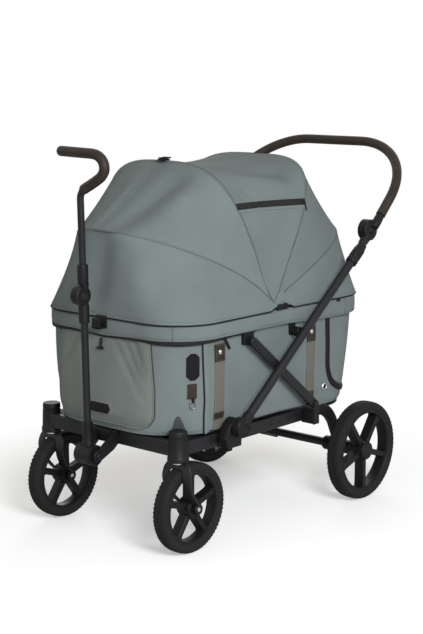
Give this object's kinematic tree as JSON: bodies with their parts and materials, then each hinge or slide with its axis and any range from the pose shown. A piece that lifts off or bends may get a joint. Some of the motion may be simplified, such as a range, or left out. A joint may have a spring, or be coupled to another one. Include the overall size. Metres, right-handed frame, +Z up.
{
  "type": "pram wagon",
  "caption": "Folding pram wagon with a deep fabric basket, arched hood, crossed side frame, swivelling front casters, push bar and hinged pull handle.",
  "frame": {"origin": "centre of the wagon's box on the ground", "axes": "+Z up, -Y towards the pull handle at the front, +X to the wagon's left-hand side as its rider faces forward"},
  "size_m": [0.653, 1.1286, 1.0538],
  "materials": {
    "frame_paint": "fine matte black powder coat",
    "black_plastic": "matte moulded black plastic",
    "tyre_rubber": "matte black rubber with a block tread",
    "grip_leather": "dark brown grained leather",
    "shell_fabric": "grey-green woven polyester",
    "pad_fabric": "dark grey-green quilted polyester"
  },
  "bodies": {
    "chassis": {"caster_housing_right": "black_plastic", "caster_housing_left": "black_plastic", "side_rail_right": "frame_paint", "side_rail_left": "frame_paint", "front_rail": "frame_paint", "rear_arm_right": "black_plastic", "rear_arm_left": "black_plastic", "rear_axle": "frame_paint", "rear_bar": "black_plastic", "brace_bracket_right": "black_plastic", "brace_bracket_left": "black_plastic", "basket_tub": "shell_fabric", "floor_pad": "pad_fabric"},
    "caster_right": {"caster_fork_right": "frame_paint"},
    "caster_left": {"caster_fork_left": "frame_paint"},
    "front_roller_right": {"front_wheel_right": "black_plastic", "front_tyre_right": "tyre_rubber"},
    "front_roller_left": {"front_wheel_left": "black_plastic", "front_tyre_left": "tyre_rubber"},
    "rear_roller_right": {"rear_wheel_right": "black_plastic", "rear_tyre_right": "tyre_rubber"},
    "rear_roller_left": {"rear_wheel_left": "black_plastic", "rear_tyre_left": "tyre_rubber"},
    "brake": {"brake_pedal": "black_plastic"},
    "braces": {"brace_right": "frame_paint", "brace_left": "frame_paint"},
    "legs": {"leg_right": "frame_paint", "leg_left": "frame_paint", "leg_sleeve_right": "black_plastic", "leg_sleeve_left": "black_plastic"},
    "sliders": {"rim_slider_right": "black_plastic", "rim_slider_left": "black_plastic"},
    "collars": {"collar_right": "black_plastic", "collar_left": "black_plastic"},
    "lever_right": {"release_lever_right": "black_plastic"},
    "lever_left": {"release_lever_left": "black_plastic"},
    "inner_tubes": {"inner_tube_right": "frame_paint", "inner_tube_left": "frame_paint"},
    "push_bar": {"handle_bar": "frame_paint", "handle_grip": "grip_leather"},
    "button_right": {"handle_button_right": "black_plastic"},
    "button_left": {"handle_button_left": "black_plastic"},
    "rim": {"rim_frame": "frame_paint", "rim_band": "shell_fabric", "basket_wall": "shell_fabric", "rear_skirt": "shell_fabric"},
    "hood_rear": {"rear_bow": "black_plastic", "rear_panel": "shell_fabric"},
    "hood_rear_top": {"rear_top_bow": "black_plastic", "window_panel": "shell_fabric"},
    "hood_main": {"main_bow": "black_plastic", "front_panel": "shell_fabric"},
    "hood_front": {"front_bow": "black_plastic", "front_skirt": "shell_fabric"},
    "pull_foot": {"pull_lower": "frame_paint", "pull_joint_lower": "black_plastic"},
    "pull_top": {"pull_joint_upper": "black_plastic", "pull_upper_tube": "frame_paint", "pull_grip": "grip_leather"},
    "pull_lock": {"pull_button": "black_plastic"}
  },
  "joints": [
    {"name": "caster_swivel_right", "type": "hinge", "parent": "chassis", "child": "caster_right", "pos_m": [0.238, -0.43039, 0.2535], "axis": [0, 0, 1], "continuous": true},
    {"name": "caster_swivel_left", "type": "hinge", "parent": "chassis", "child": "caster_left", "pos_m": [-0.238, -0.43039, 0.2535], "axis": [0, 0, 1], "continuous": true},
    {"name": "front_spin_right", "type": "hinge", "parent": "caster_right", "child": "front_roller_right", "pos_m": [0.238, -0.38939, 0.12123], "axis": [1, 0, 0], "continuous": true},
    {"name": "front_spin_left", "type": "hinge", "parent": "caster_left", "child": "front_roller_left", "pos_m": [-0.238, -0.38939, 0.12123], "axis": [1, 0, 0], "continuous": true},
    {"name": "rear_spin_right", "type": "hinge", "parent": "chassis", "child": "rear_roller_right", "pos_m": [0.295, 0.30061, 0.14409], "axis": [1, 0, 0], "continuous": true},
    {"name": "rear_spin_left", "type": "hinge", "parent": "chassis", "child": "rear_roller_left", "pos_m": [-0.295, 0.30061, 0.14409], "axis": [1, 0, 0], "continuous": true},
    {"name": "brake_press", "type": "hinge", "parent": "chassis", "child": "brake", "pos_m": [-0.094, 0.30061, 0.14409], "axis": [1, 0, 0], "range_deg": [-25, 0]},
    {"name": "frame_fold", "type": "hinge", "parent": "chassis", "child": "braces", "pos_m": [0, 0.07461, 0.3235], "axis": [1, 0, 0], "range_deg": [0, 31], "deforming": ["basket_wall"]},
    {"name": "leg_cross", "type": "hinge", "parent": "braces", "child": "legs", "pos_m": [0, -0.09539, 0.46018], "axis": [1, 0, 0], "range_deg": [-62, 0]},
    {"name": "collar_turn", "type": "hinge", "parent": "legs", "child": "collars", "pos_m": [0, -0.26539, 0.3235], "axis": [1, 0, 0], "range_deg": [0, 31]},
    {"name": "rim_level", "type": "hinge", "parent": "legs", "child": "rim", "pos_m": [0, 0.0014, 0.538], "axis": [1, 0, 0], "range_deg": [0, 31]},
    {"name": "slider_turn", "type": "hinge", "parent": "braces", "child": "sliders", "pos_m": [0, -0.19217, 0.538], "axis": [1, 0, 0], "range_deg": [-31, 0]},
    {"name": "lever_squeeze_right", "type": "hinge", "parent": "collars", "child": "lever_right", "pos_m": [0.2564, -0.26539, 0.2581], "axis": [0, 1, 0], "range_deg": [-12, 0], "stiffness_Nm_per_rad": 0.3, "springref_deg": 5.73},
    {"name": "lever_squeeze_left", "type": "hinge", "parent": "collars", "child": "lever_left", "pos_m": [-0.2564, -0.26539, 0.2581], "axis": [0, 1, 0], "range_deg": [0, 12], "stiffness_Nm_per_rad": 0.3, "springref_deg": -5.73},
    {"name": "push_bar_telescope", "type": "slide", "parent": "legs", "child": "inner_tubes", "axis": [0, 0.7793, 0.6266], "range_m": [0, 0.1]},
    {"name": "push_bar_angle", "type": "hinge", "parent": "inner_tubes", "child": "push_bar", "pos_m": [0, 0.30475, 0.79217], "axis": [1, 0, 0], "range_deg": [-45, 40]},
    {"name": "button_press_right", "type": "slide", "parent": "push_bar", "child": "button_right", "axis": [-1, 0, 0], "range_m": [0, 0.0035], "stiffness_N_per_m": 400, "springref_m": -0.002},
    {"name": "button_press_left", "type": "slide", "parent": "push_bar", "child": "button_left", "axis": [1, 0, 0], "range_m": [0, 0.0035], "stiffness_N_per_m": 400, "springref_m": -0.002},
    {"name": "hood_fold", "type": "hinge", "parent": "rim", "child": "hood_rear", "pos_m": [0, -0.04839, 0.618], "axis": [-1, 0, 0], "range_deg": [0, 16], "deforming": ["rear_skirt", "rear_panel", "window_panel", "front_panel", "front_skirt"]},
    {"name": "rear_top_bow_turn", "type": "hinge", "parent": "hood_rear", "child": "hood_rear_top", "pos_m": [0, -0.04839, 0.618], "axis": [-1, 0, 0], "range_deg": [0, 26]},
    {"name": "main_bow_turn", "type": "hinge", "parent": "hood_rear_top", "child": "hood_main", "pos_m": [0, -0.04839, 0.618], "axis": [-1, 0, 0], "range_deg": [0, 43]},
    {"name": "front_bow_turn", "type": "hinge", "parent": "hood_main", "child": "hood_front", "pos_m": [0, -0.04839, 0.618], "axis": [-1, 0, 0], "range_deg": [0, 27]},
    {"name": "pull_handle_fold", "type": "hinge", "parent": "chassis", "child": "pull_foot", "pos_m": [0, -0.52039, 0.248], "axis": [1, 0, 0], "range_deg": [0, 80]},
    {"name": "pull_handle_joint", "type": "hinge", "parent": "pull_foot", "child": "pull_top", "pos_m": [0, -0.53928, 0.6727], "axis": [1, 0, 0], "range_deg": [0, 140]},
    {"name": "pull_lock_press", "type": "slide", "parent": "pull_top", "child": "pull_lock", "axis": [-1, 0, 0], "range_m": [0, 0.0035], "stiffness_N_per_m": 400, "springref_m": -0.002}
  ],
  "couplings": [
    {"joint": "leg_cross", "follows": "frame_fold", "ratio": -2},
    {"joint": "collar_turn", "follows": "frame_fold", "ratio": 1},
    {"joint": "rim_level", "follows": "frame_fold", "ratio": 1},
    {"joint": "slider_turn", "follows": "frame_fold", "ratio": -1},
    {"joint": "rear_top_bow_turn", "follows": "hood_fold", "ratio": 1.625},
    {"joint": "main_bow_turn", "follows": "hood_fold", "ratio": 2.6875},
    {"joint": "front_bow_turn", "follows": "hood_fold", "ratio": 1.6875}
  ]
}
